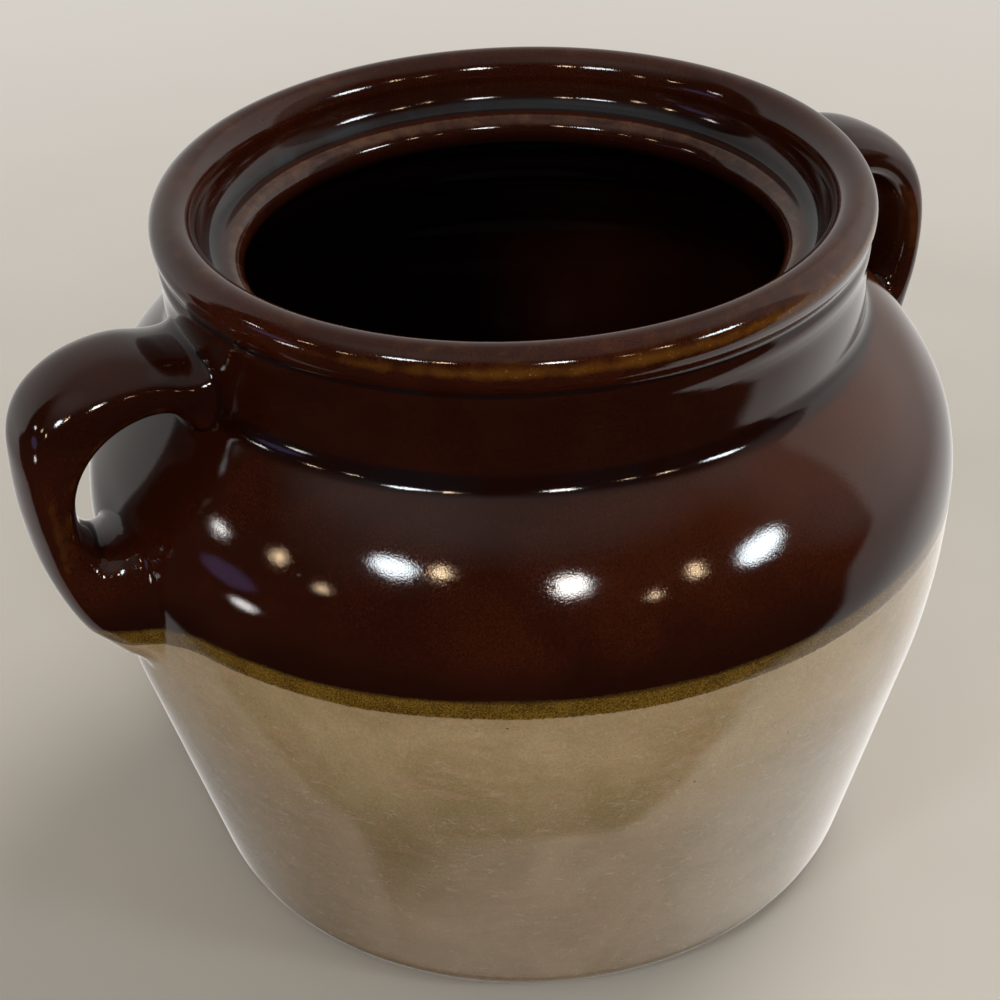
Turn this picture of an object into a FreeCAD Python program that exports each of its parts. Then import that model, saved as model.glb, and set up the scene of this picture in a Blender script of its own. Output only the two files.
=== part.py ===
"""Two-handled stoneware bean pot without its lid: a thrown clay body, two luted strap handles, the glazes.

Millimetres, +Z up. The origin is the centre of the base, on the surface that the pot stands on, and the
handles stand out along -X and +X. Glazed outer surfaces are given at their finished size; the clay under
them lies one glaze thickness deeper.
"""
import FreeCAD, Part
import math
import os
import Sketcher

os.makedirs("parts", exist_ok=True)
doc = FreeCAD.newDocument("bean_pot")

# ---------------------------------------------------------------- driving dimensions (alias, value, meaning)
SIZES = [
    ("belly_radius", 91.4, "widest circle of the belly"),
    ("belly_height", 93.0, "height of the widest circle"),
    ("shoulder_radius", 34.0, "arc between the belly and the shoulder cone"),
    ("shoulder_angle", 45.0, "turn of that arc, degrees"),
    ("flank_radius", 150.0, "arc between the belly and the straight flank"),
    ("flank_angle", 13.8, "lean of the straight flank, degrees"),
    ("foot_radius", 9.0, "rounding between the flank and the base"),
    ("foot_land", 10.0, "width of the flat ring that the pot stands on"),
    ("foot_recess", 1.5, "depth of the recess inside the foot ring"),
    ("bare_foot_height", 9.0, "clay left bare above the table"),
    ("neck_height", 25.7, "from the crease under the neck to the top of the lip"),
    ("crease_radius", 3.0, "hollow where the neck meets the shoulder"),
    ("lip_radius", 72.0, "outside of the rolled lip"),
    ("lip_overhang", 1.1, "how far the lip stands out beyond the neck"),
    ("lip_roll", 4.2, "radius of the rolled top of the lip"),
    ("lip_depth", 8.0, "height of the lip band"),
    ("lip_step", 5.0, "height over which the lip band fades into the neck"),
    ("gallery_depth", 11.5, "from the lip top to the floor of the gallery"),
    ("gutter_radius", 1.5, "hollow corner between gallery wall and ledge"),
    ("ledge_width", 8.3, "from the gallery wall to the inner edge of the ledge that carries the lid"),
    ("ledge_bead", 3.2, "radius of the rounded ledge edge"),
    ("ledge_rise", 1.5, "how far the ledge edge stands above the gutter"),
    ("wall", 6.8, "body wall with its glaze"),
    ("floor_height", 8.5, "inside floor above the table"),
    ("floor_corner", 16.0, "inside corner between floor and flank"),
    ("glaze", 0.6, "thickness of every glaze coat"),
    ("glaze_drop", 3.0, "from the widest circle down to the lower edge of the dipped brown glaze"),
    ("band_height", 4.2, "olive band where the two glazes overlap"),
    ("handle_drop", 22.0, "from the lip top down to the strap's centre line where it leaves the neck"),
    ("handle_reach", 11.1, "how far the strap's centre line stands out beyond the belly"),
    ("handle_crook", 21.0, "centre line's upper bend"),
    ("handle_tail", 45.0, "centre line's lower bend"),
    ("tail_sweep", 52.0, "turn of the lower bend, degrees"),
    ("tail_bite", 6.0, "straight end of the strap, pressed into the belly"),
    ("strap_width", 25.0, "strap across"),
    ("strap_thickness", 9.4, "strap through"),
    ("strap_edge", 3.6, "rounding of the strap's edges"),
    ("root_flare", 6.0, "how far the luting clay spreads beyond the strap on each side"),
    ("root_reach", 6.5, "how far the upper luting clay runs out along the strap"),
    ("tail_root_length", 34.0, "height of the lower luting pad"),
    ("tail_root_middle", 39.0, "how far round the lower bend the lower pad is centred, degrees"),
    ("tail_root_tip", 28.6, "how far round the lower bend the lower pad begins, degrees"),
    ("tail_root_lap", 1.0, "lower pad's clay above and below the strap where the pad begins"),
    ("far_handle_turn", 7.0, "the second handle's turn away from opposite the first, degrees"),
    ("far_handle_lift", 4.5, "how much higher the second handle sits"),
]
sizes = doc.addObject("Spreadsheet::Sheet", "sizes")
for row, (alias, value, meaning) in enumerate(SIZES, start=1):
    sizes.set(f"A{row}", meaning)
    sizes.set(f"B{row}", str(value))
    sizes.setAlias(f"B{row}", alias)
doc.recompute()


# ---------------------------------------------------------------- small helpers
def named(expression):
    """Puts the sheet's name before every alias in an expression."""
    words, word = [], ""
    for char in expression + " ":
        if char.isalnum() or char == "_":
            word += char
            continue
        words.append(f"sizes.{word}" if word in ALIASES else word)
        words.append(char)
        word = ""
    return "".join(words).strip()


ALIASES = {alias for alias, _, _ in SIZES}


def number(expression):
    """The present value of an expression."""
    value = sizes.evalExpression(named(expression))
    return float(getattr(value, "Value", value))


def origin_plane(body, role):
    return next(feature for feature in body.Origin.OriginFeatures if feature.Role == role)


def sketch_on(body, role, name, offset=None):
    """A sketch on one of the body's own origin planes, moved along the plane's normal by an expression."""
    sketch = body.newObject("Sketcher::SketchObject", name)
    sketch.AttachmentSupport = (origin_plane(body, role), [""])
    sketch.MapMode = "FlatFace"
    if offset:
        sketch.setExpression("AttachmentOffset.Base.z", named(offset))
    return sketch


def pin_point(sketch, geometry, position, across, up):
    """Holds one end of a line or arc at a place given by two expressions."""
    for kind, expression, axis in (("DistanceX", across, -2), ("DistanceY", up, -1)):
        if expression == "0":
            sketch.addConstraint(Sketcher.Constraint("PointOnObject", geometry, position, axis))
            continue
        index = sketch.addConstraint(Sketcher.Constraint(kind, geometry, position, number(expression)))
        sketch.setExpression(f"Constraints[{index}]", named(expression))


def arc_between(start, end, radius, turn):
    """The short arc from start to end; turn is "left" or "right", seen along the way."""
    chord = end - start
    sagitta_foot = math.sqrt(max(radius ** 2 - (chord.Length / 2) ** 2, 0.0))
    side = FreeCAD.Vector(-chord.y, chord.x, 0).normalize()
    sign = 1 if turn == "left" else -1
    centre = (start + end) / 2 + side * sagitta_foot * sign
    middle = centre - side * radius * sign
    return Part.Arc(start, middle, end)


def trace(sketch, corners, closed=True):
    """Draws a chain of lines and arcs. Each corner is (across, up, way on), all in expressions; the way on
    is None for a straight line or (radius, turn) for an arc."""
    points = [FreeCAD.Vector(number(across), number(up), 0) for across, up, _ in corners]
    count = len(corners) if closed else len(corners) - 1
    edges = []
    for index in range(count):
        start, end = points[index], points[(index + 1) % len(points)]
        way = corners[index][2]
        if way is None:
            edges.append((sketch.addGeometry(Part.LineSegment(start, end)), 1, 2))
            continue
        radius, turn = way
        arc = sketch.addGeometry(arc_between(start, end, number(radius), turn))
        ends = (1, 2) if turn == "left" else (2, 1)
        edges.append((arc, *ends))
        held = sketch.addConstraint(Sketcher.Constraint("Radius", arc, number(radius)))
        sketch.setExpression(f"Constraints[{held}]", named(radius))
    for index, (edge, first, last) in enumerate(edges):
        pin_point(sketch, edge, first, corners[index][0], corners[index][1])
        if not closed and index == count - 1:
            pin_point(sketch, edge, last, corners[-1][0], corners[-1][1])
        elif closed or index < count - 1:
            following, its_start, _ = edges[(index + 1) % len(edges)]
            sketch.addConstraint(Sketcher.Constraint("Coincident", edge, last, following, its_start))


def turned_body(name, corners):
    """A body of revolution about +Z from an outline of (radius, height, way on)."""
    body = doc.addObject("PartDesign::Body", name)
    sketch = sketch_on(body, "XZ_Plane", f"{name}_outline")
    trace(sketch, corners)
    turning = body.newObject("PartDesign::Revolution", f"{name}_turning")
    turning.Profile = sketch
    turning.ReferenceAxis = (sketch, ["V_Axis"])
    turning.Angle = 360
    sketch.Visibility = False
    return body


def joined(name, shapes):
    fusion = doc.addObject("Part::MultiFuse", name)
    fusion.Shapes = shapes
    return fusion


def cut(name, base, tool):
    result = doc.addObject("Part::Cut", name)
    result.Base, result.Tool = base, tool
    return result


def common(name, base, tool):
    result = doc.addObject("Part::MultiCommon", name)
    result.Shapes = [base, tool]
    return result


# ---------------------------------------------------------------- the pot's outline, as expressions
# depth is how far an outer surface lies inside the finished one: 0 or the glaze.
# under is how far an inner surface lies inside the clay from the finished one: 0 or the glaze.
NECK_RADIUS = "(lip_radius - lip_overhang)"
GALLERY_RADIUS = "(lip_radius - 2 * lip_roll)"
LEDGE_EDGE = f"({GALLERY_RADIUS} - ledge_width)"
CREASE_HEIGHT = (
    f"(belly_height + (shoulder_radius + crease_radius - ({NECK_RADIUS} + crease_radius - belly_radius"
    " + shoulder_radius) * cos(shoulder_angle)) / sin(shoulder_angle))"
)
LIP_TOP = f"({CREASE_HEIGHT} + neck_height)"
LEDGE_TOP = f"({LIP_TOP} - gallery_depth + ledge_rise)"
GLAZE_LINE = "(belly_height - glaze_drop)"


def on_flank(depth, height):
    """Radius of the straight flank at a height."""
    return (
        f"belly_radius - flank_radius + (flank_radius - ({depth})"
        f" + ({height} - belly_height) * sin(flank_angle)) / cos(flank_angle)"
    )


def belly_and_shoulder(depth):
    """From the lower end of the flank arc up to the foot of the neck, by way of the widest circle."""
    return [
        (
            f"belly_radius - flank_radius + (flank_radius - ({depth})) * cos(flank_angle)",
            f"belly_height - (flank_radius - ({depth})) * sin(flank_angle)",
            (f"flank_radius - ({depth})", "left"),
        ),
        (f"belly_radius - ({depth})", "belly_height", (f"shoulder_radius - ({depth})", "left")),
        (
            f"belly_radius - shoulder_radius + (shoulder_radius - ({depth})) * cos(shoulder_angle)",
            f"belly_height + (shoulder_radius - ({depth})) * sin(shoulder_angle)",
            None,
        ),
        (
            f"{NECK_RADIUS} + crease_radius - (crease_radius + ({depth})) * cos(shoulder_angle)",
            f"{CREASE_HEIGHT} - (crease_radius + ({depth})) * sin(shoulder_angle)",
            (f"crease_radius + ({depth})", "right"),
        ),
        (f"{NECK_RADIUS} - ({depth})", CREASE_HEIGHT, None),
    ]


def neck_and_lip(depth):
    """Up the neck and over the rolled lip to the top of the gallery wall."""
    return [
        (f"{NECK_RADIUS} - ({depth})", f"{LIP_TOP} - lip_depth - lip_step", None),
        (f"lip_radius - ({depth})", f"{LIP_TOP} - lip_depth", None),
        (f"lip_radius - ({depth})", f"{LIP_TOP} - lip_roll", (f"lip_roll - ({depth})", "left")),
        ("lip_radius - lip_roll", f"{LIP_TOP} - ({depth})", (f"lip_roll - ({depth})", "left")),
        (f"{GALLERY_RADIUS} + ({depth})", f"{LIP_TOP} - lip_roll", None),
    ]


def inside(under):
    """From the middle of the floor up the flank, out over the ledge and up the gallery wall."""
    depth = f"wall - ({under})"
    corner = f"floor_corner + ({under})"
    centre = on_flank("wall + floor_corner", "(floor_height + floor_corner)")
    bead = f"ledge_bead - ({under})"
    return [
        ("0", f"floor_height - ({under})", None),
        (centre, f"floor_height - ({under})", (corner, "left")),
        (
            f"{centre} + ({corner}) * cos(flank_angle)",
            f"floor_height + floor_corner - ({corner}) * sin(flank_angle)",
            None,
        ),
        *belly_and_shoulder(depth),
        (f"{LEDGE_EDGE} + ledge_bead", f"{LEDGE_TOP} - 2 * ledge_bead + ({under})", (bead, "right")),
        (f"{LEDGE_EDGE} + ({under})", f"{LEDGE_TOP} - ledge_bead", (bead, "right")),
        (f"{LEDGE_EDGE} + ledge_bead", f"{LEDGE_TOP} - ({under})", None),
        (
            f"{GALLERY_RADIUS} - gutter_radius",
            f"{LIP_TOP} - gallery_depth - ({under})",
            (f"gutter_radius + ({under})", "left"),
        ),
        (f"{GALLERY_RADIUS} + ({under})", f"{LIP_TOP} - gallery_depth + gutter_radius", None),
        (f"{GALLERY_RADIUS} + ({under})", f"{LIP_TOP} - lip_roll", None),
    ]


def reverse(corners):
    """The same chain walked the other way."""
    turned = []
    for index in range(len(corners) - 1, -1, -1):
        way = corners[index - 1][2] if index else None
        if way:
            way = (way[0], "right" if way[1] == "left" else "left")
        turned.append((corners[index][0], corners[index][1], way))
    return turned


def foot(depth):
    """From the middle of the recessed base out over the foot and up to the edge of the bare clay."""
    foot_centre = on_flank("foot_radius", "foot_radius")
    outline = [
        (f"{foot_centre} - foot_land - foot_recess", "foot_recess", None),
        (f"{foot_centre} - foot_land", "0", None),
        (foot_centre, "0", ("foot_radius", "left")),
        (
            f"{foot_centre} + foot_radius * cos(flank_angle)",
            "foot_radius - foot_radius * sin(flank_angle)",
            None,
        ),
        (on_flank("0", "bare_foot_height"), "bare_foot_height", None),
    ]
    if depth != "0":
        outline.append((on_flank(depth, "bare_foot_height"), "bare_foot_height", None))
    return [("0", "foot_recess", None), *outline]


def outside(depth):
    return [*foot(depth), *belly_and_shoulder(depth), *neck_and_lip(depth)]


def filled(name, depth):
    """The pot's outer form as one solid lump, closed across the mouth; a tool for cutting and fitting."""
    return turned_body(name, [*outside(depth), ("0", f"{LIP_TOP} - lip_roll", None)])


# ---------------------------------------------------------------- straps and luting clay
def rounded_box(across, up, wide, high, corner):
    """A rectangle with rounded corners, anticlockwise from its lower edge, from its centre and full sizes."""
    right, left = f"{across} + ({wide}) / 2", f"{across} - ({wide}) / 2"
    low, top = f"{up} - ({high}) / 2", f"{up} + ({high}) / 2"
    bend = (corner, "left")
    return [
        (f"{left} + {corner}", low, None),
        (f"{right} - {corner}", low, bend),
        (right, f"{low} + {corner}", None),
        (right, f"{top} - {corner}", bend),
        (f"{right} - {corner}", top, None),
        (f"{left} + {corner}", top, bend),
        (left, f"{top} - {corner}", None),
        (left, f"{low} + {corner}", bend),
    ]


HANDLE_TOP = f"({LIP_TOP} - handle_drop)"
BEND_HEIGHT = f"({HANDLE_TOP} - handle_crook)"
TAIL_CENTRE = "(belly_radius + handle_reach - handle_tail)"
STRAP_START = f"({NECK_RADIUS} - wall / 2)"


def on_tail(turn):
    """Place of the strap's centre line (radius, height) on its lower bend, after an angle."""
    return f"{TAIL_CENTRE} + handle_tail * cos({turn})", f"{BEND_HEIGHT} - handle_tail * sin({turn})"


def strap(name, depth):
    """The bent strap, from inside the neck's wall to inside the belly's wall."""
    body = doc.addObject("PartDesign::Body", name)
    tail_across, tail_up = on_tail("tail_sweep")
    route = sketch_on(body, "XZ_Plane", f"{name}_route")
    trace(
        route,
        [
            (STRAP_START, HANDLE_TOP, None),
            ("belly_radius + handle_reach - handle_crook", HANDLE_TOP, ("handle_crook", "right")),
            ("belly_radius + handle_reach", BEND_HEIGHT, ("handle_tail", "right")),
            (tail_across, tail_up, None),
            (
                f"{tail_across} - tail_bite * sin(tail_sweep)",
                f"{tail_up} - tail_bite * cos(tail_sweep)",
                None,
            ),
        ],
        closed=False,
    )
    section = sketch_on(body, "YZ_Plane", f"{name}_section", offset=STRAP_START)
    trace(
        section,
        rounded_box(
            "0", HANDLE_TOP, f"strap_width - 2 * ({depth})", f"strap_thickness - 2 * ({depth})",
            f"(strap_edge - ({depth}))",
        ),
    )
    pipe = body.newObject("PartDesign::AdditivePipe", f"{name}_pipe")
    pipe.Profile = section
    pipe.Spine = (route, [])
    return body


def pad(name, depth, root, end, root_x, end_x):
    """Luting clay round one end of a strap: a loft from a wide root in the pot's wall to the strap.
    root and end are (height of the centre, width, height) in expressions."""
    body = doc.addObject("PartDesign::Body", name)
    sketches = []
    for place, (middle, wide, high), offset in (("root", root, root_x), ("end", end, end_x)):
        sketch = sketch_on(body, "YZ_Plane", f"{name}_{place}", offset=offset)
        trace(
            sketch,
            rounded_box(
                "0", middle, f"{wide} - 2 * ({depth})", f"{high} - 2 * ({depth})", f"(strap_edge - ({depth}))"
            ),
        )
        sketches.append(sketch)
    loft = body.newObject("PartDesign::AdditiveLoft", f"{name}_loft")
    loft.Profile, loft.Sections = sketches[0], sketches[1:]
    return body


def upper_pad(name, depth):
    return pad(
        name,
        depth,
        root=(HANDLE_TOP, "strap_width + 2 * root_flare", "strap_thickness + 2 * root_flare"),
        end=(HANDLE_TOP, "strap_width", "strap_thickness"),
        root_x=STRAP_START,
        end_x=f"{NECK_RADIUS} + root_reach - ({depth})",
    )


def lower_pad(name, depth):
    tip_across, tip_height = on_tail("tail_root_tip")
    tip = "strap_thickness / sin(tail_root_tip) + 2 * tail_root_lap"
    return pad(
        name,
        depth,
        root=(on_tail("tail_root_middle")[1], "strap_width + 2 * root_flare", "tail_root_length"),
        end=(tip_height, "strap_width", tip),
        root_x="belly_radius - wall",
        end_x=f"{tip_across} - ({depth})",
    )


HANDLES = {
    "left": ("180", "0"),
    "right": ("far_handle_turn", "far_handle_lift"),
}


def place(body, azimuth, lift):
    """Turns a body about the pot's axis and lifts it."""
    body.Placement = FreeCAD.Placement(FreeCAD.Vector(0, 0, 0), FreeCAD.Rotation(FreeCAD.Vector(0, 0, 1), 1))
    body.setExpression("Placement.Rotation.Angle", named(azimuth))
    body.setExpression("Placement.Base.z", named(lift))
    return body


# ---------------------------------------------------------------- the sub-parts
NODES = []


def node(thing, label):
    thing.Label = label
    NODES.append(thing)
    return thing


pot_body = node(turned_body("clay_body", [*outside("glaze"), *reverse(inside("glaze"))[1:]]), "pot_body")
liner = node(turned_body("liner", [*inside("0"), *reverse(inside("glaze"))]), "inner_brown_glaze")
clay_form = filled("clay_form", "glaze")
finished_form = filled("finished_form", "0")

clay_pieces, finished_pieces = [clay_form], [finished_form]
for side, (azimuth, lift) in HANDLES.items():
    strap_clay = place(strap(f"{side}_strap_clay", "glaze"), azimuth, lift)
    node(cut(f"{side}_handle_cut", strap_clay, clay_form), f"{side}_handle")
    finished_pieces.append(place(strap(f"{side}_strap_finished", "0"), azimuth, lift))
    clay_pieces.append(strap_clay)
    fitted = joined(f"{side}_strap_and_pot", [clay_form, strap_clay])
    for level, make_pad in (("upper", upper_pad), ("lower", lower_pad)):
        pad_clay = place(make_pad(f"{side}_{level}_pad_clay", "glaze"), azimuth, lift)
        node(cut(f"{side}_{level}_pad_cut", pad_clay, fitted), f"{side}_{level}_lute")
        finished_pieces.append(place(make_pad(f"{side}_{level}_pad_finished", "0"), azimuth, lift))
        clay_pieces.append(pad_clay)

glaze_skin = cut("glaze_skin", joined("finished_pot", finished_pieces), joined("clay_pot", clay_pieces))


def zone(name, base, height):
    """A flat slab wider than the pot, between two heights."""
    slab = doc.addObject("Part::Cylinder", name)
    slab.setExpression("Radius", named("2 * (belly_radius + handle_reach)"))
    slab.setExpression("Height", named(height))
    slab.setExpression("Placement.Base.z", named(base))
    return slab


ZONES = {
    "clear_glaze": ("0", GLAZE_LINE),
    "olive_glaze_band": (GLAZE_LINE, "band_height"),
    "outer_brown_glaze": (f"{GLAZE_LINE} + band_height", LIP_TOP),
}
for label, (base, height) in ZONES.items():
    node(common(f"{label}_coat", glaze_skin, zone(f"{label}_zone", base, height)), label)

doc.recompute()

# ---------------------------------------------------------------- checks and export
for thing in doc.Objects:
    if "Invalid" in thing.State or "Error" in thing.State:
        raise RuntimeError(f"{thing.Name} failed: {thing.State}")
for thing in NODES:
    if thing.Shape.isNull() or not thing.Shape.isValid() or not thing.Shape.Solids:
        raise RuntimeError(f"{thing.Label} has no sound shape")
for thing in NODES:
    thing.Shape.exportStep(f"parts/{thing.Label}.step")
    box = thing.Shape.BoundBox
    print(
        f"{thing.Label:20s} solids {len(thing.Shape.Solids)} volume {thing.Shape.Volume:10.1f} mm3"
        f"  x {box.XMin:.1f}..{box.XMax:.1f}"
        f"  y {box.YMin:.1f}..{box.YMax:.1f}"
        f"  z {box.ZMin:.1f}..{box.ZMax:.1f}"
    )
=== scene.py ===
"""The looks of a two-handled stoneware bean pot.

Turned clay, a brown dip over a clear glaze, and pulled strap handles. The pot is turned about +Z and stands
on z = 0. Lengths are written in millimetres and times MM in metres.
"""

import math

import bmesh
import bpy
import numpy as np
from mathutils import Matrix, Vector
from mathutils.kdtree import KDTree


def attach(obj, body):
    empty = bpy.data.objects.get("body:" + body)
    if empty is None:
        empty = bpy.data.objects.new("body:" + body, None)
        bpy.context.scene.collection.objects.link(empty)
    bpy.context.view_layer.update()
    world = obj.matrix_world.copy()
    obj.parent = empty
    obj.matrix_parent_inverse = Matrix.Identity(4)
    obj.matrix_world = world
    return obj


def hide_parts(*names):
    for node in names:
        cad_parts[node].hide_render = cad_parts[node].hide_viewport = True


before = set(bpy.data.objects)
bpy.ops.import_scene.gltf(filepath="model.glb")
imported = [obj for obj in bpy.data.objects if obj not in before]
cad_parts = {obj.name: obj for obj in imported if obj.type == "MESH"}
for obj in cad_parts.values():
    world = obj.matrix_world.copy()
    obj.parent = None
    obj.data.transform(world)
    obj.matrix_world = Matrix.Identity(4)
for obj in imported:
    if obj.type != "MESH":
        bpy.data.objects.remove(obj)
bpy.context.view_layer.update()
scene = bpy.context.scene
MM = 0.001

# ---------------------------------------------------------------- sizes of the turned pot, mm and degrees
BELLY, BELLY_HEIGHT = 91.4, 93.0
SHOULDER, SHOULDER_ANGLE = 34.0, 45.0
ROUND_OVER, ROUND_OVER_START = 60.0, 33.0
FLANK, FLANK_ANGLE = 150.0, 13.8
FOOT, FOOT_LAND, FOOT_RECESS = 9.0, 10.0, 1.5
# The glaze ends on the foot's rounding, this far below the level of the rounding's centre.
BARE_TURN = 60.0
# The neck's height is measured above a crease of radius CREASE; the clay in it is rounded to CREASE_ROUND.
NECK, NECK_HEIGHT, CREASE, CREASE_ROUND = 70.9, 25.7, 3.0, 6.5
LIP, LIP_ROLL, LIP_BAND = 72.0, 4.2, 14.0
LIP_INSIDE, LIP_FALL = 5.0, 6.0
GALLERY_DEPTH = 11.3
LEDGE_WIDTH, LEDGE_BEAD, LEDGE_FALL = 8.5, 3.6, 0.15
WALL, FLOOR_HEIGHT, FLOOR_CORNER = 6.8, 8.5, 16.0
GLAZE = 0.6
SEGMENTS = 240

# ---------------------------------------------------------------- the unevenness of hand-turned clay, mm
OVAL, THREE_SIDED = 0.16, 0.07
THROWING_RINGS, RING_RISE, RINGS_FROM = 0.035, 2.3, 60.0
DRAWN_IN = 0.04

# ---------------------------------------------------------------- the glazes, mm
DIP_LINE = 87.6
DIP_TILT = (-0.0060, -0.0400)
DIP_RUN, DIP_RUN_NEAR, DIP_RUN_FAR = 5.2, 14.0, 34.0
BAND = 4.0
RUN_SCALE = 2.0
# The lip is wiped thin, but less at its left end: places across it, and shares of the wiping.
LIP_WIPED = (-0.95, -0.55), (0.5, 1.0)
# The side, in degrees, where painted light lifts the painted shade low on the wall inside.
LIT_SIDE = 40.0
IOR = 1.56

# ---------------------------------------------------------------- strap handles, mm
HANDLE_DROP, HANDLE_REACH = 22.0, 11.1
CROOK, TAIL = 21.0, 45.0
STRAP_WIDE, STRAP_THICK = 25.0, 9.4
STRAP_SQUARE = 2.35
CROWN = 0.1
PLUG_DEPTH, WIPED_DEPTH = 2.5, 0.06
RING = 28


def sin(degrees):
    return math.sin(math.radians(degrees))


def cos(degrees):
    return math.cos(math.radians(degrees))


CREASE_HEIGHT = BELLY_HEIGHT + (
    SHOULDER + CREASE - (NECK + CREASE - BELLY + SHOULDER) * cos(SHOULDER_ANGLE)
) / sin(SHOULDER_ANGLE)
LIP_TOP = CREASE_HEIGHT + NECK_HEIGHT
GALLERY = LIP - LIP_ROLL - LIP_INSIDE
LEDGE_EDGE = GALLERY - LEDGE_WIDTH
GALLERY_FLOOR = LIP_TOP - GALLERY_DEPTH
LEDGE_TOP = GALLERY_FLOOR - LEDGE_FALL
HANDLE_TOP = LIP_TOP - HANDLE_DROP


# ---------------------------------------------------------------- outlines of the turned pot
def arc(across, up, radius, start, end, step=1.0):
    """Points (radius, height) along an arc, about step mm apart."""
    count = max(3, round(abs(math.radians(end - start)) * radius / step))
    turns = [start + (end - start) * i / count for i in range(count + 1)]
    return [(across + radius * cos(turn), up + radius * sin(turn)) for turn in turns]


def straight(start, end, step=1.5):
    count = max(1, round(math.dist(start, end) / step))
    return [
        (start[0] + (end[0] - start[0]) * i / count, start[1] + (end[1] - start[1]) * i / count)
        for i in range(count + 1)
    ]


def eased(points, steps=5):
    """A smooth curve through given points."""
    padded = [points[0], *points, points[-1]]
    curve = []
    for before, start, end, after in zip(padded, padded[1:], padded[2:], padded[3:]):
        for i in range(steps):
            t = i / steps
            point = []
            for a, b, c, d in zip(before, start, end, after):
                bend, twist = 2 * a - 5 * b + 4 * c - d, 3 * b - a - 3 * c + d
                point.append(0.5 * (2 * b + (c - a) * t + bend * t * t + twist * t ** 3))
            curve.append(tuple(point))
    return [*curve, points[-1]]


def flank_radius(height, depth=0.0):
    """The radius of the straight flank at a height, or that much deeper in the wall."""
    return BELLY - FLANK + (FLANK - depth + (height - BELLY_HEIGHT) * sin(FLANK_ANGLE)) / cos(FLANK_ANGLE)


def flank(depth, low):
    """The straight flank and the belly, from a height up to the widest circle."""
    top = BELLY_HEIGHT - (FLANK - depth) * sin(FLANK_ANGLE)
    rise = straight((flank_radius(low, depth), low), (flank_radius(top, depth), top), 3.0)
    return [*rise, *arc(BELLY - FLANK, BELLY_HEIGHT, FLANK - depth, -FLANK_ANGLE, 0)[1:]]


def shoulder(depth):
    """From the widest circle, over a second and wider curve, to the foot of the neck."""
    first = (BELLY - SHOULDER, BELLY_HEIGHT)
    gap = ROUND_OVER - SHOULDER
    second = (first[0] - gap * cos(ROUND_OVER_START), first[1] - gap * sin(ROUND_OVER_START))
    reach = ROUND_OVER + CREASE_ROUND
    end = math.degrees(math.acos((NECK + CREASE_ROUND - second[0]) / reach))
    crease_height = second[1] + reach * sin(end)
    rounding = arc(*first, SHOULDER - depth, 0, ROUND_OVER_START)
    rise = arc(*second, ROUND_OVER - depth, ROUND_OVER_START, end, 1.5)
    crease = arc(NECK + CREASE_ROUND, crease_height, CREASE_ROUND + depth, 180 + end, 180, 0.5)
    return [*rounding[1:], *rise[1:-1], *crease]


def neck_and_lip(depth):
    """The neck with its faint throwing rings, the groove under the lip and the roll of the lip."""
    band = [
        (NECK, LIP_TOP - LIP_BAND),
        (NECK + 0.14, LIP_TOP - 12.6),
        (NECK + 0.34, LIP_TOP - 11.2),
        (NECK + 0.36, LIP_TOP - 10.0),
        (NECK + 0.20, LIP_TOP - 9.0),
        (NECK + 0.16, LIP_TOP - 8.3),
        (NECK + 0.42, LIP_TOP - 7.4),
        (LIP - 0.25, LIP_TOP - 6.2),
        (LIP, LIP_TOP - 5.0),
    ]
    roll = arc(LIP - LIP_ROLL, LIP_TOP - LIP_ROLL, LIP_ROLL - depth, 0, 90, 0.5)
    for turned in range(96, 181, 6):
        across = LIP - LIP_ROLL + (LIP_INSIDE - depth) * cos(turned)
        roll.append((across, LIP_TOP - LIP_FALL + (LIP_FALL - depth) * sin(turned)))
    neck_foot = shoulder(depth)[-1]
    wall = straight((neck_foot[0], neck_foot[1] + 0.6), (NECK - depth, LIP_TOP - LIP_BAND))[:-1]
    return [*wall, *[(radius - depth, height) for radius, height in eased(band)], *roll]


def inside(under):
    """From the roll of the lip down the gallery, over the ledge and down to the middle of the floor."""
    depth = WALL - under
    edge = LEDGE_EDGE + LEDGE_BEAD
    wall = [
        (GALLERY, LIP_TOP - LIP_FALL),
        (GALLERY - 0.25, LIP_TOP - 7.2),
        (GALLERY - 0.65, LIP_TOP - 8.5),
        (GALLERY - 1.25, LIP_TOP - 9.7),
        (GALLERY - 2.20, LIP_TOP - 10.7),
        (GALLERY - 3.50, GALLERY_FLOOR),
        (edge, LEDGE_TOP),
    ]
    gallery = []
    for radius, height in eased(wall):
        share = min(1.0, max(0.0, (height - GALLERY_FLOOR) / 2.5))
        gallery.append((radius + under * share, height - under * (1 - share)))
    bead = arc(edge, LEDGE_TOP - LEDGE_BEAD, LEDGE_BEAD - under, 90, 270, 0.5)
    corner_centre = flank_radius(FLOOR_HEIGHT + FLOOR_CORNER, WALL + FLOOR_CORNER)
    corner = arc(corner_centre, FLOOR_HEIGHT + FLOOR_CORNER, FLOOR_CORNER + under, -FLANK_ANGLE, -90, 2.0)
    rise = [*flank(depth, corner[0][1]), *shoulder(depth)]
    return [
        *gallery[:-1],
        *bead,
        *straight(bead[-1], rise[-1])[1:-1],
        *reversed(rise),
        *corner[1:],
        *straight(corner[-1], (0, FLOOR_HEIGHT - under), 3.0)[1:],
    ]


def foot_round(depth, start, end):
    """The rounding between the standing ring and the flank."""
    return arc(flank_radius(FOOT, FOOT), FOOT, FOOT - depth, start, end)


def foot():
    """From the middle of the recessed base out to the edge of the bare standing ring."""
    ring = flank_radius(FOOT, FOOT) - FOOT_LAND
    edge = [(ring - 2 * FOOT_RECESS, FOOT_RECESS), (ring - FOOT_RECESS, 0.8 * FOOT_RECESS), (ring, 0)]
    return [*straight((0, FOOT_RECESS), edge[0], 4.0)[:-1], *eased(edge), *foot_round(0, -90, -BARE_TURN)]


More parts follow.
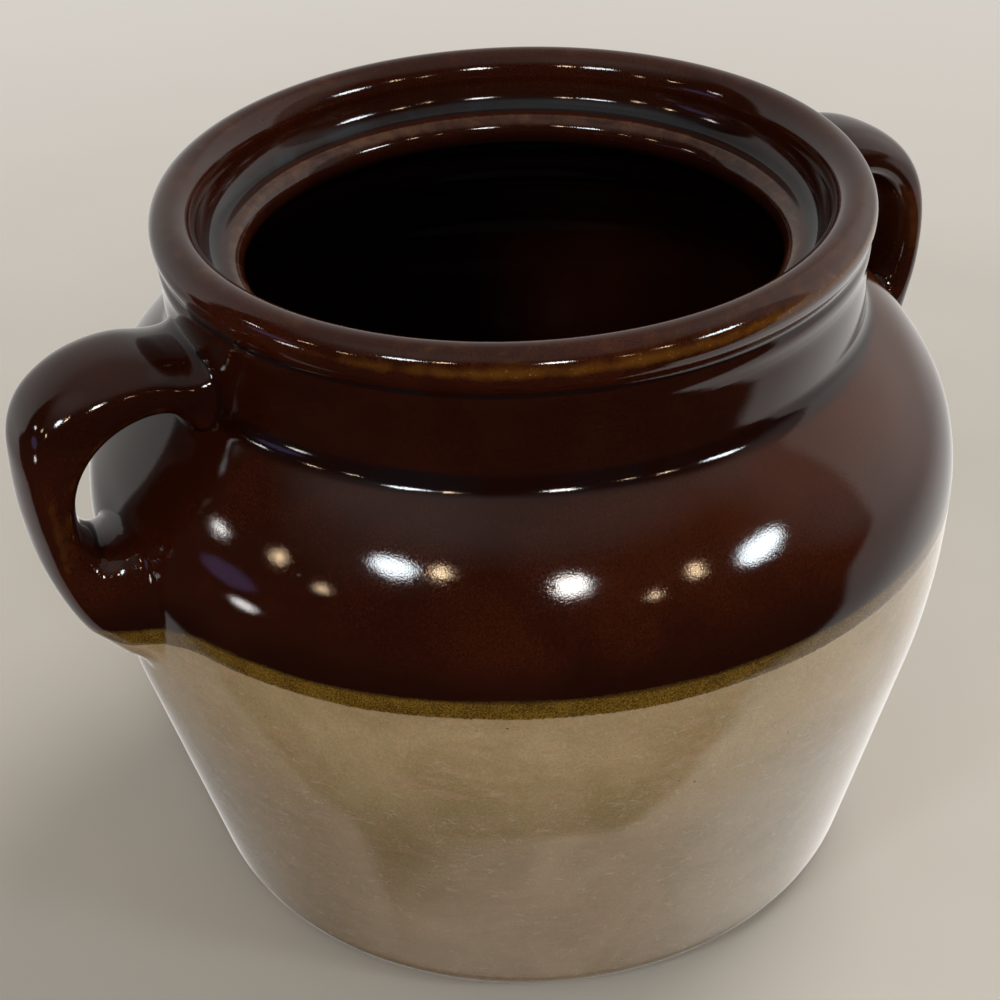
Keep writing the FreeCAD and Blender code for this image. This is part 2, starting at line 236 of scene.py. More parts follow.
def between(points, low, high):
    """The stretch of an upward outline between two heights, with a close ring just inside each end."""
    stretch = [(radius, height) for radius, height in points if low + 0.3 < height < high - 0.3]
    ends = []
    for height in (low, low + 0.1, high - 0.1, high):
        for (r0, z0), (r1, z1) in zip(points, points[1:]):
            if z0 <= height <= z1 and z1 > z0:
                ends.append((r0 + (r1 - r0) * (height - z0) / (z1 - z0), height))
                break
    return [*ends[:2], *stretch, *ends[2:]]


# ---------------------------------------------------------------- working in edit mode
def start_piece(name):
    piece = bpy.context.object
    piece.name = name
    piece.data.name = name
    bpy.ops.object.mode_set(mode="EDIT")
    return piece


def end_piece(piece, smooth_angle=40.0):
    """Leaves edit mode with outward faces, the place in the mesh and smooth shading."""
    bpy.ops.mesh.select_all(action="SELECT")
    bpy.ops.mesh.remove_doubles(threshold=0.002 * MM)
    bpy.ops.mesh.normals_make_consistent(inside=False)
    bpy.ops.object.mode_set(mode="OBJECT")
    bpy.ops.object.transform_apply(location=True, rotation=True, scale=True)
    bpy.ops.object.shade_smooth_by_angle(angle=math.radians(smooth_angle))
    return piece


def turn(name, outline):
    """Turns a closed outline of (radius, height) about the pot's axis."""
    bpy.ops.object.select_all(action="DESELECT")
    across, up = outline[0]
    bpy.ops.mesh.primitive_plane_add(size=MM, location=(across * MM, 0, up * MM))
    piece = start_piece(name)
    bpy.ops.mesh.merge(type="CENTER")
    for (r0, z0), (r1, z1) in zip(outline, [*outline[1:], outline[0]]):
        step = ((r1 - r0) * MM, 0, (z1 - z0) * MM)
        bpy.ops.mesh.extrude_region_move(TRANSFORM_OT_translate={"value": step})
    bpy.ops.mesh.select_all(action="SELECT")
    bpy.ops.mesh.spin(steps=SEGMENTS, angle=math.tau, center=(0, 0, 0), axis=(0, 0, 1))
    return end_piece(piece)


def settle(piece):
    """Clay that was turned by hand: a little out of round, with soft throwing rings."""
    count = len(piece.data.vertices)
    place = np.empty(count * 3)
    piece.data.vertices.foreach_get("co", place)
    place = place.reshape(-1, 3) / MM
    around = np.arctan2(place[:, 1], place[:, 0])
    height = place[:, 2]
    radius = np.hypot(place[:, 0], place[:, 1])
    rise = np.clip(height / LIP_TOP, 0, 1)
    change = OVAL * rise * np.cos(2 * around + 0.7)
    change += THREE_SIDED * np.cos(3 * around + 1.9 + height / 40)
    rings = np.sin(height / RING_RISE + 0.8 * np.sin(around + 0.4))
    change += THROWING_RINGS * rings * np.clip((height - RINGS_FROM) / 40, 0, 1) - DRAWN_IN
    factor = 1 + change * np.clip(radius / 30, 0, 1) / np.maximum(radius, 1)
    place[:, 0] *= factor
    place[:, 1] *= factor
    piece.data.vertices.foreach_set("co", (place * MM).ravel())
    piece.data.update()
    return piece


# ---------------------------------------------------------------- where the glaze runs thin, and painted light on the inner ledge
def store_run(piece, bend):
    """Writes the bend of the surface, in 1/mm, as an attribute: above 0 on edges, below 0 in hollows."""
    attribute = piece.data.attributes.new("glaze_run_and_light", "FLOAT", "POINT")
    attribute.data.foreach_set("value", np.clip(RUN_SCALE * bend, -1, 1).astype(np.float32))


def paint_turned_run_and_light(piece, outline):
    """The bend along a closed outline, given to the ring of vertices that each point turned into."""
    points = np.array(outline)
    step = np.roll(points, -1, 0) - points
    length = np.hypot(*step.T)
    keep = length > 1e-6
    points, step, length = points[keep], step[keep], length[keep]
    heading = np.arctan2(step[:, 1], step[:, 0])
    swing = (heading - np.roll(heading, 1) + math.pi) % math.tau - math.pi
    bend = 2 * swing / (length + np.roll(length, 1))
    for _ in range(14):
        bend = 0.5 * bend + 0.25 * (np.roll(bend, 1) + np.roll(bend, -1))
    crease = np.exp(-(((points[:, 1] - CREASE_HEIGHT + 0.6) / 2.6) ** 2))
    bend *= 1 + np.where(points[:, 0] > NECK - 1, crease, 0)
    wiped = np.exp(-(((points[:, 1] - LIP_TOP + 3.6) / 1.1) ** 2))
    bend += 0.24 * np.where(points[:, 0] > LIP - 2, wiped, 0)
    bend[(points[:, 0] < GALLERY + 2) & (points[:, 1] > LIP_TOP - LIP_FALL - 2)] *= 0.35
    # Painted light: the crown of the inner ledge gets thin, lighter glaze where light from above falls on it;
    # the gutter beside it gets the dark colour of thick glaze.
    shelf = (points[:, 0] < GALLERY) & (points[:, 1] > LEDGE_TOP - 2)
    crown = np.exp(-(((points[:, 0] - LEDGE_EDGE - 2.2) / 1.4) ** 2))
    gutter = np.exp(-(((points[:, 0] - LEDGE_EDGE - 5.6) / 1.3) ** 2))
    bend += np.where(shelf, 0.40 * crown - 0.25 * gutter, 0)
    nearest = KDTree(len(points))
    for number, (radius, height) in enumerate(points):
        nearest.insert((radius, 0, height), number)
    nearest.balance()
    found = {}
    values = np.zeros(len(piece.data.vertices))
    for vertex in piece.data.vertices:
        key = round(math.hypot(vertex.co.x, vertex.co.y) / MM, 1), round(vertex.co.z / MM, 1)
        if key not in found:
            found[key] = bend[nearest.find((key[0], 0, key[1]))[1]]
        values[vertex.index] = found[key]
        if key[0] > LIP - 2 and key[1] > LIP_TOP - 6:
            values[vertex.index] *= np.interp(vertex.co.x / LIP / MM, *LIP_WIPED)
    store_run(piece, values)


def paint_bent_run(piece, softness=10):
    """The bend of a free shape, from how far its normals swing along each edge."""
    mesh = piece.data
    count = len(mesh.vertices)
    place, normal = np.empty(count * 3), np.empty(count * 3)
    mesh.vertices.foreach_get("co", place)
    mesh.vertex_normals.foreach_get("vector", normal)
    place, normal = place.reshape(-1, 3) / MM, normal.reshape(-1, 3)
    ends = np.empty(len(mesh.edges) * 2, int)
    mesh.edges.foreach_get("vertices", ends)
    first, last = ends.reshape(-1, 2).T
    step = place[last] - place[first]
    swing = ((normal[last] - normal[first]) * step).sum(1) / np.maximum((step ** 2).sum(1), 1e-6)
    total, links = np.zeros(count), np.zeros(count)
    for end in (first, last):
        np.add.at(total, end, swing)
        np.add.at(links, end, 1)
    bend = 2 * total / np.maximum(links, 1)
    for _ in range(softness):
        spread = np.zeros(count)
        np.add.at(spread, first, bend[last])
        np.add.at(spread, last, bend[first])
        bend = 0.5 * bend + 0.5 * spread / np.maximum(links, 1)
    store_run(piece, 0.80 * bend)


# ---------------------------------------------------------------- shader nodes
class Graph:
    """Short ways to place and link the nodes of one tree."""

    def __init__(self, tree):
        self.tree = tree

    def node(self, kind, inputs=None, **settings):
        made = self.tree.nodes.new(kind if kind.startswith("Node") else "ShaderNode" + kind)
        for setting, value in settings.items():
            setattr(made, setting, value)
        for socket, value in (inputs or {}).items():
            self.feed(made.inputs[socket], value)
        return made

    def feed(self, socket, value):
        if isinstance(value, bpy.types.NodeSocket):
            self.tree.links.new(value, socket)
        elif isinstance(value, bpy.types.Node):
            self.tree.links.new(value.outputs[0], socket)
        else:
            socket.default_value = value

    def sum(self, kind, first, second=0.0, third=None, clamp=False):
        inputs = {0: first, 1: second}
        if third is not None:
            inputs[2] = third
        return self.node("Math", inputs, operation=kind, use_clamp=clamp).outputs[0]

    def ramp(self, value, low, high, start=0.0, end=1.0, smooth=True):
        """start below low, end above high."""
        inputs = {"Value": value, "From Min": low, "From Max": high, "To Min": start, "To Max": end}
        kind = "SMOOTHSTEP" if smooth else "LINEAR"
        return self.node("MapRange", inputs, interpolation_type=kind).outputs[0]

    def noise(self, point, size, detail=2.0, rough=0.5, warp=0.0):
        """Noise of about that size in millimetres, from 0 to 1."""
        inputs = {"Vector": point, "Scale": 1 / (size * MM), "Detail": detail}
        inputs.update({"Roughness": rough, "Distortion": warp})
        return self.node("TexNoise", inputs).outputs[0]

    def mix(self, share, first, second, kind="MIX"):
        made = self.node("Mix", {0: share}, data_type="RGBA", blend_type=kind)
        self.feed(made.inputs[6], first)
        self.feed(made.inputs[7], second)
        return made.outputs[2]

    def blend(self, share, first, second):
        return self.node("Mix", {0: share, 2: first, 3: second}, data_type="FLOAT").outputs[0]


def node_group(name, inputs, outputs):
    """A shader node group; inputs are {name: default} and a default of None is a vector or a point."""
    tree = bpy.data.node_groups.new(name, "ShaderNodeTree")
    for label, default in inputs.items():
        kind = "NodeSocketFloat"
        if default is None:
            kind = "NodeSocketVector"
        elif isinstance(default, tuple):
            kind = "NodeSocketColor"
        socket = tree.interface.new_socket(label, in_out="INPUT", socket_type=kind)
        if default is not None:
            socket.default_value = default
    for label, kind in outputs.items():
        tree.interface.new_socket(label, in_out="OUTPUT", socket_type=kind)
    graph = Graph(tree)
    return graph, graph.node("NodeGroupInput").outputs, graph.node("NodeGroupOutput").inputs


FLOAT, COLOR = "NodeSocketFloat", "NodeSocketColor"


def dip_line_group():
    """Height above the wavering lower edge of the dip, which runs down beside the handles, in metres."""
    graph, take, give = node_group(
        "dip line",
        {
            "Point": None,
            "Height": 0.09,
            "Tilt X": 0.0,
            "Tilt Y": 0.0,
            "Waver": 0.001,
            "Fray": 0.0002,
            "Run Down": 0.0,
        },
        {"Above": FLOAT},
    )
    parts = graph.node("SeparateXYZ", {0: take["Point"]}).outputs
    line = graph.sum("MULTIPLY_ADD", parts[0], take["Tilt X"], take["Height"])
    line = graph.sum("MULTIPLY_ADD", parts[1], take["Tilt Y"], line)
    slow = graph.sum("SUBTRACT", graph.noise(take["Point"], 38, 1.0), 0.5)
    line = graph.sum("MULTIPLY_ADD", slow, take["Waver"], line)
    quick = graph.sum("SUBTRACT", graph.noise(take["Point"], 0.9, 3.0, 0.7), 0.5)
    line = graph.sum("MULTIPLY_ADD", quick, take["Fray"], line)
    lean = math.tan(math.radians(HANDLES["right"]["azimuth"]))
    beside = graph.sum("MULTIPLY_ADD", graph.sum("MAXIMUM", parts[0], 0.0), -lean, parts[1])
    beside = graph.sum("ABSOLUTE", beside)
    strap = graph.ramp(beside, DIP_RUN_NEAR * MM, DIP_RUN_FAR * MM, -1.0, 0.0)
    line = graph.sum("MULTIPLY_ADD", strap, take["Run Down"], line)
    graph.feed(give["Above"], graph.sum("SUBTRACT", parts[2], line))
    return graph.tree


def glaze_ripple_group():
    """The orange-peel surface of a fired glaze, with a few pinholes; a height in metres."""
    inputs = {"Point": None, "Ripple": 1.0, "Pits": 1.0}
    graph, take, give = node_group("glaze ripple", inputs, {"Height": FLOAT})
    peel = graph.noise(take["Point"], 2.6, 1.0, 0.4)
    swell = graph.noise(take["Point"], 14, 1.0)
    fine = graph.noise(take["Point"], 0.30, 1.0, 0.5)
    height = graph.sum("MULTIPLY", peel, 0.000005)
    height = graph.sum("MULTIPLY_ADD", swell, 0.00003, height)
    height = graph.sum("MULTIPLY_ADD", fine, 0.0000085, height)
    height = graph.sum("MULTIPLY", height, take["Ripple"])
    holes = graph.node("TexVoronoi", {"Vector": take["Point"], "Scale": 1 / (13 * MM)}).outputs["Distance"]
    hole = graph.ramp(holes, 0.012, 0.03, -1.0, 0.0)
    hole = graph.sum("MULTIPLY", hole, take["Pits"])
    graph.feed(give["Height"], graph.sum("MULTIPLY_ADD", hole, 0.00006, height))
    return graph.tree


def brown_glaze_group():
    """Red-brown slip glaze: nearly black where it pools, amber with gold flecks where it runs thin.

    Pooled is a share of the dark pool colour besides what lies in the hollows; inside the pot it is painted
    shade, lifted on one side by painted light.
    Rust is the share of a redder brown, in part painted light.
    """
    graph, take, give = node_group(
        "brown glaze",
        {
            "Point": None,
            "Run": 0.0,
            "Darker Share": 0.0,
            "Rust": 0.0,
            "Pool": (0.009, 0.0014, 0.0006, 1),
            "Body": (0.046, 0.0085, 0.0024, 1),
            "Thin": (0.170, 0.064, 0.008, 1),
            "Milk And Reflection": (0.006, 0.008, 0.011, 1),
            "Fleck": (0.62, 0.33, 0.07, 1),
        },
        {"Color": COLOR, "Roughness": FLOAT},
    )
    point = take["Point"]
    cloud = graph.noise(point, 24, 4.0, 0.6, 0.4)
    grain = graph.noise(point, 0.42, 2.0, 0.6)
    color = graph.mix(graph.ramp(cloud, 0.35, 0.72), take["Pool"], take["Body"])
    color = graph.mix(0.55, color, take["Body"])
    grainy = graph.ramp(grain, 0.30, 0.75, 0.74, 1.34)
    color = graph.mix(1.0, color, graph.node("CombineColor", {0: grainy, 1: grainy, 2: grainy}), "MULTIPLY")
    color = graph.mix(take["Rust"], color, (0.115, 0.030, 0.008, 1))
    hollow = graph.ramp(take["Run"], -0.55, -0.05, 1.0, 0.0)
    deep = graph.sum("MAXIMUM", graph.sum("MULTIPLY", hollow, 0.85), take["Darker Share"])
    color = graph.mix(deep, color, take["Pool"])
    # A bluish tone in the hollows: in part the opal blue of thick glaze, in part a painted bluish reflection.
    milky_and_reflected = graph.ramp(take["Run"], -0.50, -0.15, 1.0, 0.0)
    milky_and_reflected = graph.sum("MULTIPLY", milky_and_reflected, graph.ramp(cloud, 0.42, 0.62))
    color = graph.mix(graph.sum("MULTIPLY", milky_and_reflected, 0.5), color, take["Milk And Reflection"])
    patch = graph.noise(point, 5, 4.0, 0.62, 0.6)
    edge = graph.sum("MULTIPLY_ADD", graph.sum("SUBTRACT", patch, 0.5), 0.9, take["Run"])
    thin = graph.ramp(edge, 0.42, 1.05)
    color = graph.mix(graph.sum("MULTIPLY", thin, 0.7), color, take["Thin"])
    speck = graph.noise(point, 0.45, 2.0, 0.7)
    fleck = graph.sum("MULTIPLY", graph.ramp(speck, 0.60, 0.72), graph.ramp(edge, 0.55, 1.1))
    color = graph.mix(graph.sum("MULTIPLY", fleck, 0.7), color, take["Fleck"])
    graph.feed(give["Color"], color)
    graph.feed(give["Roughness"], graph.sum("MULTIPLY_ADD", grain, 0.06, 0.035))
    return graph.tree


def olive_grain_group():
    """The olive band where brown lies over clear glaze: gold and dark grains, finer than a pinhead."""
    graph, take, give = node_group(
        "olive grain",
        {"Point": None, "Above": 0.002, "Dark": (0.066, 0.032, 0.004, 1), "Gold": (0.29, 0.165, 0.020, 1)},
        {"Color": COLOR},
    )
    grain = graph.noise(take["Point"], 0.30, 1.0, 0.6)
    drift = graph.noise(take["Point"], 6, 3.0, 0.6)
    level = graph.sum("MULTIPLY_ADD", graph.sum("SUBTRACT", drift, 0.5), 0.35, grain)
    color = graph.mix(graph.ramp(level, 0.30, 0.82), take["Dark"], take["Gold"])
    rim = graph.ramp(take["Above"], (BAND - 0.9) * MM, (BAND - 0.1) * MM, 0.0, 0.75)
    graph.feed(give["Color"], graph.mix(rim, color, (0.028, 0.011, 0.003, 1)))
    return graph.tree


def clear_glaze_group():
    """Grey-beige clay under a finely crazed clear glaze, with pale threads, dark specks and pink clouds, and
    painted shade that darkens it low on the flank.
    """
    graph, take, give = node_group(
        "clear glaze",
        {
            "Point": None,
            "Clay": (0.445, 0.335, 0.190, 1),
            "Shade": (0.345, 0.250, 0.130, 1),
            "Pink": (0.440, 0.298, 0.186, 1),
            "Green": (0.330, 0.290, 0.160, 1),
            "Thread": (0.58, 0.48, 0.37, 1),
            "Speck": (0.060, 0.035, 0.018, 1),
        },
        {"Color": COLOR, "Roughness": FLOAT, "Height": FLOAT},
    )
    point = take["Point"]
    flat = graph.node("Mapping", {"Vector": point, "Scale": (1, 1, 2.6)}).outputs[0]
    cloud = graph.ramp(graph.noise(point, 26, 4.0, 0.6, 0.8), 0.34, 0.70)
    color = graph.mix(cloud, take["Shade"], take["Clay"])
    pink = graph.ramp(graph.noise(flat, 7, 5.0, 0.68, 0.5), 0.47, 0.66)
    color = graph.mix(graph.sum("MULTIPLY", pink, 0.75), color, take["Pink"])
    green = graph.ramp(graph.noise(flat, 5.2, 5.0, 0.7, 0.3), 0.52, 0.72)
    color = graph.mix(graph.sum("MULTIPLY", green, 0.45), color, take["Green"])
    sand_and_shade = graph.ramp(graph.noise(point, 0.5, 3.0, 0.75), 0.28, 0.72, 0.86, 1.12)
    # Painted shade and light: darker low on the flank and a little lighter near the band, as light falls from
    # above.
    low_down = graph.ramp(graph.node("SeparateXYZ", {0: point}).outputs[2], 0.045, 0.085, 0.77, 1.10)
    sand_and_shade = graph.sum("MULTIPLY", sand_and_shade, low_down)
    color = graph.mix(1.0, color, graph.node("CombineColor", {0: sand_and_shade, 1: sand_and_shade, 2: sand_and_shade}), "MULTIPLY")

    sway = graph.node("TexNoise", {"Vector": flat, "Scale": 1 / (6 * MM), "Detail": 3.0}).outputs["Color"]
    pushed = graph.node("VectorMath", {0: sway, 1: (0.5, 0.5, 0.5)}, operation="SUBTRACT").outputs[0]
    inputs = {0: pushed, 1: (9 * MM,) * 3, 2: flat}
    pushed = graph.node("VectorMath", inputs, operation="MULTIPLY_ADD").outputs[0]
    inputs = {"Vector": pushed, "Scale": 1 / (5.5 * MM)}
    crack = graph.node("TexVoronoi", inputs, feature="DISTANCE_TO_EDGE").outputs["Distance"]
    thread = graph.ramp(crack, 0.0, 0.038, 1.0, 0.0)
    broken = graph.ramp(graph.noise(point, 3.0, 3.0, 0.6), 0.46, 0.62)
    thread = graph.sum("MULTIPLY", thread, broken)
    color = graph.mix(graph.sum("MULTIPLY", thread, 0.55), color, take["Thread"])

    # Pale patches at random places, in the thread colour.
    pale_patch = graph.ramp(graph.noise(flat, 9, 5.0, 0.75, 0.4), 0.70, 0.84)
    color = graph.mix(graph.sum("MULTIPLY", pale_patch, 0.45), color, take["Thread"])

    spots = graph.node("TexVoronoi", {"Vector": point, "Scale": 1 / (3.4 * MM), "Randomness": 1.0})
    chosen = graph.node("SeparateColor", {0: spots.outputs["Color"]}).outputs
    reach = graph.ramp(graph.sum("POWER", chosen[0], 5.0), 0.15, 1.0, 0.02, 0.085, smooth=False)
    speck = graph.sum("LESS_THAN", spots.outputs["Distance"], reach)
    color = graph.mix(graph.sum("MULTIPLY", speck, 0.8), color, take["Speck"])
    graph.feed(give["Color"], color)
    graph.feed(give["Roughness"], graph.ramp(graph.noise(point, 8, 3.0, 0.6), 0.3, 0.7, 0.035, 0.075))
    graph.feed(give["Height"], graph.sum("MULTIPLY", thread, 0.000006))
    return graph.tree


def new_material(name, **shader):
    """A material with one Principled shader; keyword inputs with _ for spaces."""
    material = bpy.data.materials.new(name)
    material.use_nodes = True
    graph = Graph(material.node_tree)
    principled = material.node_tree.nodes["Principled BSDF"]
    for label, value in shader.items():
        principled.inputs[label.replace("_", " ")].default_value = value
    return material, graph, principled.inputs


def place_group(graph, tree, inputs):
    placed = graph.node("Group", node_tree=tree)
    for label, value in inputs.items():
        graph.feed(placed.inputs[label], value)
    return placed.outputs


def glaze_run_and_light(graph):
    return graph.node("Attribute", attribute_name="glaze_run_and_light").outputs["Fac"]


def outside_glaze(groups):
    """Brown dip, olive band and clear glaze in one firing, parted by the dip line."""
    material, graph, shader = new_material("outside glaze", IOR=IOR)
    point = graph.node("TexCoord").outputs["Object"]
    clear = place_group(graph, groups["clear"], {"Point": point})
    above = place_group(
        graph,
        groups["line"],
        {
            "Point": point,
            "Height": DIP_LINE * MM,
            "Tilt X": DIP_TILT[0],
            "Tilt Y": DIP_TILT[1],
            "Waver": 0.0012,
            "Fray": 0.0008,
            "Run Down": DIP_RUN * MM,
        },
    )["Above"]
    olive = place_group(graph, groups["olive"], {"Point": point, "Above": above})
    height = graph.node("SeparateXYZ", {0: point}).outputs[2]
    # Darker on the neck, between the crease and the lip, and just above the olive band.
    neck = graph.ramp(height, (CREASE_HEIGHT - 3) * MM, (CREASE_HEIGHT + 2) * MM, 0.0, 0.4)
    neck = graph.sum("MULTIPLY", neck, graph.ramp(height, (LIP_TOP - 9) * MM, (LIP_TOP - 5) * MM, 1.0, 0.0))
    darker_share = graph.sum("MAXIMUM", neck, graph.ramp(above, BAND * MM, (BAND + 11) * MM, 0.6, 0.0))
    # Redder, lighter brown high on the shoulder, growing towards +X: in part thinner glaze, in part painted
    # light and reflection from the bright side of the room.
    high = graph.ramp(height, (BELLY_HEIGHT + 12) * MM, (CREASE_HEIGHT - 7) * MM)
    below_crease = graph.ramp(height, (CREASE_HEIGHT - 4) * MM, CREASE_HEIGHT * MM, 1.0, 0.0)
    high = graph.sum("MULTIPLY", high, below_crease)
    across = graph.node("SeparateXYZ", {0: point}).outputs[0]
    redder_and_lit = graph.sum("MULTIPLY", high, graph.ramp(across, -0.5 * BELLY * MM, 0.5 * BELLY * MM, 0.0, 0.36))
    brown = place_group(
        graph, groups["brown"], {"Point": point, "Run": glaze_run_and_light(graph), "Darker Share": darker_share, "Rust": redder_and_lit}
    )
    dipped = graph.ramp(above, -0.00018, 0.00018)
    drift = graph.sum("SUBTRACT", graph.noise(point, 20, 2.0), 0.5)
    above = graph.sum("MULTIPLY_ADD", drift, 0.0016, above)
    covered = graph.ramp(above, (BAND - 0.25) * MM, (BAND + 0.25) * MM)
    color = graph.mix(dipped, clear["Color"], olive["Color"])
    graph.feed(shader["Base Color"], graph.mix(covered, color, brown["Color"]))
    rough = graph.blend(dipped, clear["Roughness"], 0.16)
    graph.feed(shader["Roughness"], graph.blend(covered, rough, brown["Roughness"]))
    ripple = place_group(graph, groups["ripple"], {"Point": point, "Ripple": 1.0, "Pits": dipped})["Height"]
    step = graph.sum("MULTIPLY_ADD", graph.ramp(above, -0.0006, 0.0008), 0.00006, ripple)
    relief = graph.sum("ADD", step, graph.blend(dipped, clear["Height"], 0.0))
    graph.feed(shader["Normal"], graph.node("Bump", {"Height": relief, "Distance": 1.0, "Strength": 1.0}))
    return material


def inside_glaze(groups):
    material, graph, shader = new_material("inside glaze", IOR=IOR)
    point = graph.node("TexCoord").outputs["Object"]
    height = graph.node("SeparateXYZ", {0: point}).outputs[2]
    aim = (cos(LIT_SIDE), sin(LIT_SIDE), 0)
    lit_side = graph.node("VectorMath", {0: point, 1: aim}, operation="DOT_PRODUCT").outputs["Value"]
    # Painted light: on that side, low inside, the painted shade is lifted where the lamps' light falls on the
    # wall.
    thin = graph.sum(
        "MULTIPLY",
        graph.ramp(lit_side, 0.78 * BELLY * MM, 0.91 * BELLY * MM, 0.0, -0.75),
        graph.ramp(height, (BELLY_HEIGHT + 4) * MM, (BELLY_HEIGHT + 24) * MM, 1.0, 0.0),
    )
    # Painted shade: the glaze is darkened deep inside the pot, below the ledge, where little light reaches.
    deep = graph.ramp(height, (LEDGE_TOP - 9) * MM, (LEDGE_TOP - 2.5) * MM, 1.0, 0.0)
    brown = place_group(
        graph,
        groups["brown"],
        {
            "Point": point,
            "Run": graph.sum("MULTIPLY", glaze_run_and_light(graph), 0.62),
            "Darker Share": graph.sum("ADD", deep, thin, clamp=True),
            # Painted shade: the pool colour, and a little the body colour, are darker than outside, for the
            # dim inside of the pot.
            "Pool": (0.0042, 0.0012, 0.0012, 1),
            "Body": (0.040, 0.0080, 0.0028, 1),
            # Painted light: the thin colour is lighter than outside, for the inner ledge where light from
            # above falls.
            "Thin": (0.200, 0.088, 0.038, 1),
            # In part painted reflection: a brighter teal for the hollows of the gallery, besides the opal
            # blue of thick glaze.
            "Milk And Reflection": (0.022, 0.032, 0.040, 1),
            "Fleck": (0.16, 0.085, 0.045, 1),
        },
    )
    graph.feed(shader["Base Color"], brown["Color"])
    graph.feed(shader["Roughness"], brown["Roughness"])
    ripple = place_group(graph, groups["ripple"], {"Point": point})["Height"]
    graph.feed(shader["Normal"], graph.node("Bump", {"Height": ripple, "Distance": 1.0, "Strength": 1.0}))
    return material


def bare_stoneware(groups):
    """Unglazed foot: dry, sandy, a little darker in its lowest two millimetres."""
    material, graph, shader = new_material("bare stoneware", IOR=1.45)
    point = graph.node("TexCoord").outputs["Object"]
    clay = place_group(graph, groups["clear"], {"Point": point})
    height = graph.node("SeparateXYZ", {0: point}).outputs[2]
    # Darker in the lowest two millimetres, where the foot meets the floor.
    lowest_band = graph.ramp(height, 0.0002, 0.0022, 0.75, 1.0)
    lowest_tint = graph.node("CombineColor", {0: lowest_band, 1: lowest_band, 2: lowest_band})
    graph.feed(shader["Base Color"], graph.mix(1.0, clay["Color"], lowest_tint, "MULTIPLY"))
    grit = graph.noise(point, 0.6, 3.0, 0.7)
    graph.feed(shader["Roughness"], graph.ramp(grit, 0.3, 0.7, 0.45, 0.70))
    bumpy = graph.sum("MULTIPLY", grit, 0.00005)
    graph.feed(shader["Normal"], graph.node("Bump", {"Height": bumpy, "Distance": 1.0, "Strength": 1.0}))
    return material


# ---------------------------------------------------------------- the turned pieces
def finish_piece(piece, material, slot, *nodes):
    piece.data.materials.clear()
    piece.data.materials.append(material)
    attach(piece, "root")
    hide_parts(*nodes)
    return piece


def outer_outline(depth):
    """The glazed outside from the bare foot to the inside of the lip, or that much deeper."""
    flank_foot = FOOT - FOOT * sin(FLANK_ANGLE)
    low = [*foot_round(depth, -BARE_TURN, -FLANK_ANGLE)[:-1], *flank(depth, flank_foot)]
    return [*low, *shoulder(depth), *neck_and_lip(depth)]


def turned_coat(name, outline):
    piece = settle(turn(name, outline))
    paint_turned_run_and_light(piece, [*outer_outline(0), *inside(0), (0, 0)])
    return piece


def coat(name, low, high):
    """A glaze coat on the outside of the pot between two heights."""
    face, back = between(outer_outline(0), low, high), between(outer_outline(GLAZE), low, high)
    if low < FOOT:
        back = [outer_outline(GLAZE)[0], *back]
    return turned_coat(name, [*face, *reversed(back)])


def lip_coat(name, low):
    """The glaze coat from a height up over the lip."""
    outer, inner = outer_outline(0), outer_outline(GLAZE)
    top = LIP_TOP - LIP_BAND
    rising = between([point for point in outer if point[1] <= top], low, top)[:-2]
    falling = between([point for point in inner if point[1] <= top], low, top)[:-2]
    over = outer[next(i for i, point in enumerate(outer) if point[1] >= top - 0.01):]
    under = inner[next(i for i, point in enumerate(inner) if point[1] >= top - 0.01):]
    return turned_coat(name, [*rising, *over, *reversed(under), *reversed(falling)])


def turned_pieces(materials):
    body = settle(turn("thrown_body", [*foot(), *outer_outline(GLAZE), *inside(GLAZE)]))
    finish_piece(body, materials["bare"], "bare_clay", "pot_body")
    band_low, band_high = DIP_LINE - 6, DIP_LINE + BAND + 6
    pieces = [
        (coat("clear_coat", outer_outline(0)[0][1], band_low), "clear_glaze", "clear_glaze"),
        (coat("olive_band_coat", band_low, band_high), "olive_glaze", "olive_glaze_band"),
        (lip_coat("brown_coat", band_high), "outer_brown_glaze", "outer_brown_glaze"),
    ]
    for piece, slot, node in pieces:
        finish_piece(piece, materials["outside"], slot, node)
    liner = turned_coat("inner_coat", [*inside(0), *reversed(inside(GLAZE))])
    finish_piece(liner, materials["inside"], "inner_brown_glaze", "inner_brown_glaze")


# ---------------------------------------------------------------- the pulled strap handles
HANDLE_MIDDLE = BELLY + HANDLE_REACH - CROOK
CROOK_HEIGHT = HANDLE_TOP - CROOK
TAIL_MIDDLE = HANDLE_MIDDLE + CROOK - TAIL

# The two ends of the strap, ring by ring from the neck and on to the belly: the outer and the inner edge
# (radius, height), half width, narrowing of the outer edge, how far the inner edge is drawn up at the fuller
# side, and how much of the ring is wiped on to the pot.
UPPER_ROOT = [
    (NECK + 1.4, HANDLE_TOP + 8.2, NECK + 5.0, HANDLE_TOP - 10.6, 16.6, 0, 0, 1.0),
    (NECK + 1.0, HANDLE_TOP + 6.9, NECK + 4.6, HANDLE_TOP - 9.8, 15.6, 0, 0, 1.0),
    (NECK + 1.6, HANDLE_TOP + 5.5, NECK + 4.4, HANDLE_TOP - 8.6, 14.4, 0, 0, 0.3),
    (NECK + 3.6, HANDLE_TOP + 4.9, NECK + 5.6, HANDLE_TOP - 6.8, 13.3, 0, 0, 0),
    (NECK + 7.1, HANDLE_TOP + 4.7, NECK + 7.4, HANDLE_TOP - 5.2, 12.7, 0, 0, 0),
]
